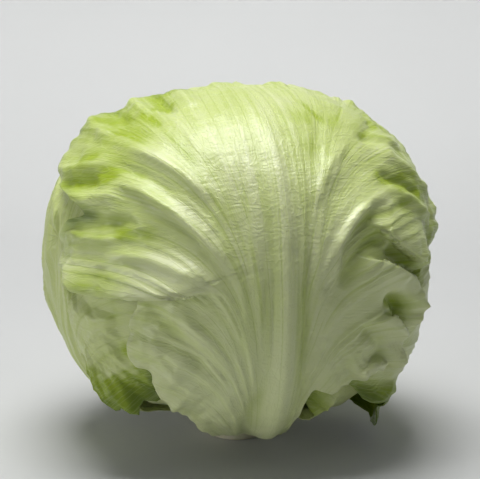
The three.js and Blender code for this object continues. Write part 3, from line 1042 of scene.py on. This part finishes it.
def add_leaves(context, plans):
    """Leaves, each a little closer to the colour of the heart than the one outside it."""
    sizes = context.scene.lettuce_sizes
    colours = context.scene.lettuce_colours
    shapes = all_leaf_shapes(sizes)
    centre = np.array([0.0, 0.0, sizes.centre_height])
    for plan in plans:
        inward = plan["order"] / (2 * len(LEAVES))
        blade = [
            (1 - inward) * green + inward * pale
            for green, pale in zip(colours.blade, colours.heart)
        ]
        material = leaf_material(plan["name"] + "_skin", colours, blade, plan["seed"])
        mesh = leaf_mesh(plan["name"] + "_piece", shapes[plan["name"]], centre)
        add_piece(plan["name"] + "_piece", mesh, material, plan["name"])


HEART_CLEARANCE = 1.5 * MM  # from the heart to the leaf over it
WIDEST_ROOM = 91.5 * MM  # where no leaf lies over the heart


def heart_mesh(name, sizes):
    """A lumpy ball of tight leaves that fills what the other leaves leave free."""
    cover = all_leaf_shapes(sizes)["cover"]
    around, rows = 180, 90
    turn = np.radians(np.arange(around) * 360.0 / around)[None, :]
    fall = np.radians((np.arange(rows) + 0.5) * 180.0 / rows)[:, None]
    level = np.broadcast_to(np.cos(fall), (rows, around))
    direction = np.stack([np.sin(fall) * np.sin(turn), -np.sin(fall) * np.cos(turn), level], axis=-1)
    folds = np.maximum(np.sin(3 * turn + 4 * fall), np.sin(2 * turn - 5 * fall + 1.3))
    height = 1.0 * MM * folds + 0.8 * MM * waviness(direction, 0.12, 3)
    radius = head_radius(direction, sizes) - (len(LEAVES) + 0.5) * sizes.layer + height
    room = np.minimum(cover.room[cover.cell(direction)], WIDEST_ROOM)
    radius = np.minimum(radius, smoothed(room - HEART_CLEARANCE, 4))
    points = (direction * radius[..., None]).reshape(-1, 3)
    points = np.vstack([points, points[:around].mean(axis=0), points[-around:].mean(axis=0)])
    points = points + np.array([0.0, 0.0, sizes.centre_height])

    ring, spoke = np.meshgrid(np.arange(rows - 1), np.arange(around), indexing="ij")
    after = (spoke + 1) % around
    corners = [ring * around + spoke, (ring + 1) * around + spoke]
    corners += [(ring + 1) * around + after, ring * around + after]
    quads = np.stack(corners, axis=-1).reshape(-1, 4)
    top, last = rows * around, (rows - 1) * around
    caps = [(top, a, (a + 1) % around) for a in range(around)]
    caps += [(top + 1, last + (a + 1) % around, last + a) for a in range(around)]
    mesh = smooth_mesh(name, points.tolist(), quads.tolist() + caps)

    strand = np.degrees(np.append(np.broadcast_to(turn, (rows, around)).ravel(), [0, 0]))
    distance = np.append(np.broadcast_to(fall, (rows, around)).ravel(), [0, 3.1]) * 0.06
    zero = np.zeros_like(strand)
    put_map(mesh, "vein_map", strand, distance, zero)
    put_map(mesh, "leaf_map", zero + 60, zero, zero + 0.1)
    put_map(mesh, "plane_map", strand, zero - 10, zero)
    return mesh


def stump_mesh(name, cut, top):
    """The stem, a little uneven all round, with the scars of leaves that were broken off."""
    profile = [
        (0.35 * cut, 0.0), (0.7 * cut, 0.0), (cut - 1.4 * MM, 0.0), (cut - 0.5 * MM, 0.3 * MM),
        (cut, 1.1 * MM), (cut + 0.5 * MM, 3 * MM), (cut + 1.5 * MM, 7 * MM),
        (cut + 2.5 * MM, 13 * MM), (cut + 1.5 * MM, 0.5 * top), (0.55 * cut, 0.96 * top),
        (0.25 * cut, top),
    ]
    around = 96
    points = []
    for radius, height in profile:
        for index in range(around):
            turn = math.radians(360 * index / around)
            spot = np.array([math.sin(turn), -math.cos(turn), height / cut])
            uneven = 1 + 0.03 * float(waviness(spot, 0.5, 8)) * (height > 0)
            scar = 1 + 0.02 * math.sin(3 * turn + 500 * height) * (height > 2 * MM)
            points.append(
                (radius * uneven * scar * spot[0], radius * uneven * scar * spot[1], height)
            )
    last, bottom, crown = (len(profile) - 1) * around, len(points), len(points) + 1
    points += [(0.0, 0.0, 0.0), (0.0, 0.0, top)]
    faces = []
    for row in range(len(profile) - 1):
        low, high = row * around, (row + 1) * around
        for index in range(around):
            after = (index + 1) % around
            faces.append((low + index, low + after, high + after, high + index))
    for index in range(around):
        after = (index + 1) % around
        faces.append((bottom, after, index))
        faces.append((crown, last + index, last + after))
    return smooth_mesh(name, points, faces)


class LETTUCE_OT_wrapper_leaves(Operator):
    """Add the loose outer leaves"""

    bl_idname = "lettuce.wrapper_leaves"
    bl_label = "Wrapper Leaves"

    def execute(self, context):
        add_leaves(context, LEAVES[:WRAPPER_LEAVES])
        return {"FINISHED"}


class LETTUCE_OT_head_leaves(Operator):
    """Add the closely laid leaves under the outer ones"""

    bl_idname = "lettuce.head_leaves"
    bl_label = "Head Leaves"

    def execute(self, context):
        add_leaves(context, LEAVES[WRAPPER_LEAVES:])
        return {"FINISHED"}


class LETTUCE_OT_heart(Operator):
    """Add the tight heart inside the leaves"""

    bl_idname = "lettuce.heart"
    bl_label = "Heart"

    def execute(self, context):
        colours = context.scene.lettuce_colours
        mesh = heart_mesh("heart_piece", context.scene.lettuce_sizes)
        material = leaf_material("heart_skin", colours, colours.heart, 3)
        add_piece("heart_piece", mesh, material, "heart")
        return {"FINISHED"}


class LETTUCE_OT_stump(Operator):
    """Add the cut stem that the head stands on"""

    bl_idname = "lettuce.stump"
    bl_label = "Stump"

    def execute(self, context):
        cut = context.scene.lettuce_sizes.cut_radius
        mesh = stump_mesh("stump_piece", cut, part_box("stump")[1][2])
        material = stem_material("stump_flesh", context.scene.lettuce_colours, cut)
        add_piece("stump_piece", mesh, material, "stump")
        return {"FINISHED"}


CAMERA_RISE = 12.0  # how far the camera looks down, in degrees
CAMERA_REACH = 0.70  # camera to the point it aims at
VIEW_WIDTH = 218.16 * MM  # width of what it frames there
AIM_RIGHT = 1.3635 * MM  # where it aims, from the middle of the head
AIM_UP = 10.22625 * MM


class LETTUCE_OT_stage(Operator):
    """Add the floor, the lights and the camera"""

    bl_idname = "lettuce.stage"
    bl_label = "Stage"

    def execute(self, context):
        scene = context.scene
        add_floor(scene)
        add_lights(scene)
        add_camera(scene)
        return {"FINISHED"}


def add_floor(scene):
    """A floor that sweeps up into a backdrop."""
    half, front, bend, radius, tall = 3.0, -2.5, 1.2, 0.8, 2.5
    profile = [(front, 0.0), (bend - radius, 0.0)]
    profile += [
        (bend - radius + radius * math.sin(turn), radius - radius * math.cos(turn))
        for turn in np.linspace(0, math.pi / 2, 24)[1:]
    ]
    profile.append((bend, tall))
    points = [(x, y, z) for y, z in profile for x in (-half, half)]
    faces = [(2 * i, 2 * i + 1, 2 * i + 3, 2 * i + 2) for i in range(len(profile) - 1)]
    mesh = smooth_mesh("studio_floor", points, faces)
    mesh.materials.append(floor_material("studio_floor", scene.lettuce_colours))
    floor = bpy.data.objects.new("studio_floor", mesh)
    scene.collection.objects.link(floor)


def add_light(scene, name, place, target, size, power):
    """A rectangular lamp that faces a point."""
    light = bpy.data.lights.new(name, "AREA")
    light.shape = "RECTANGLE"
    light.size, light.size_y = size
    light.energy = power
    lamp = bpy.data.objects.new(name, light)
    lamp.location = place
    aim = Vector(target) - Vector(place)
    lamp.rotation_euler = aim.to_track_quat("-Z", "Y").to_euler()
    scene.collection.objects.link(lamp)
    return light


def add_lights(scene):
    """A large lamp overhead, a weak one from the left, one for the backdrop, and dim air light."""
    add_light(scene, "top_softbox", (-0.05, 0, 0.85), (0, 0, 0.08), (0.55, 0.45), 8.4)
    add_light(scene, "left_fill", (-1.0, -0.5, 0.24), (0, 0, 0.08), (0.4, 0.4), 2.6)
    backdrop = add_light(scene, "backdrop_light", (0, 0.8, 0.9), (0, 0.8, 0), (1.6, 0.4), 2.2)
    backdrop.spread = math.radians(80)
    world = scene.world or bpy.data.worlds.new("studio")
    scene.world = world
    world.use_nodes = True
    background = world.node_tree.nodes["Background"]
    background.inputs["Color"].default_value = (0.93, 0.96, 1.0, 1.0)
    background.inputs["Strength"].default_value = 0.18
    scene.view_settings.view_transform = "Standard"


def add_camera(scene):
    """A camera that looks a little down on the head and frames it with some floor below."""
    rise, reach = math.radians(CAMERA_RISE), CAMERA_REACH
    back = Vector((0.0, -math.cos(rise), math.sin(rise)))
    up = back.cross(Vector((1.0, 0.0, 0.0)))
    centre = Vector((0.0, 0.0, scene.lettuce_sizes.centre_height))
    target = centre + Vector((AIM_RIGHT, 0.0, 0.0)) + up * AIM_UP
    data = bpy.data.cameras.new("camera")
    data.sensor_width = 36.0
    data.lens = data.sensor_width * reach / VIEW_WIDTH
    camera = bpy.data.objects.new("camera", data)
    camera.location = target + back * reach
    camera.rotation_euler = (-back).to_track_quat("-Z", "Y").to_euler()
    scene.collection.objects.link(camera)
    scene.camera = camera


class LETTUCE_PT_panel(Panel):
    """The lettuce's pieces, sizes and colours"""

    bl_idname = "LETTUCE_PT_panel"
    bl_label = "Head of Lettuce"
    bl_space_type = "VIEW_3D"
    bl_region_type = "UI"
    bl_category = "Lettuce"

    def draw(self, context):
        for operator in OPERATORS:
            self.layout.operator(operator.bl_idname)
        for group in (context.scene.lettuce_sizes, context.scene.lettuce_colours):
            box = self.layout.box()
            for name in type(group).__annotations__:
                box.prop(group, name)


OPERATORS = (
    LETTUCE_OT_wrapper_leaves,
    LETTUCE_OT_head_leaves,
    LETTUCE_OT_heart,
    LETTUCE_OT_stump,
    LETTUCE_OT_stage,
)
CLASSES = (LettuceSizes, LettuceColours, *OPERATORS, LETTUCE_PT_panel)


def register():
    for made in CLASSES:
        bpy.utils.register_class(made)
    bpy.types.Scene.lettuce_sizes = PointerProperty(type=LettuceSizes)
    bpy.types.Scene.lettuce_colours = PointerProperty(type=LettuceColours)


def unregister():
    del bpy.types.Scene.lettuce_colours
    del bpy.types.Scene.lettuce_sizes
    for made in reversed(CLASSES):
        bpy.utils.unregister_class(made)


def main():
    register()
    bpy.ops.lettuce.wrapper_leaves()
    bpy.ops.lettuce.head_leaves()
    bpy.ops.lettuce.heart()
    bpy.ops.lettuce.stump()
    bpy.ops.lettuce.stage()
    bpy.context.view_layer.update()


if __name__ == "__main__":
    main()
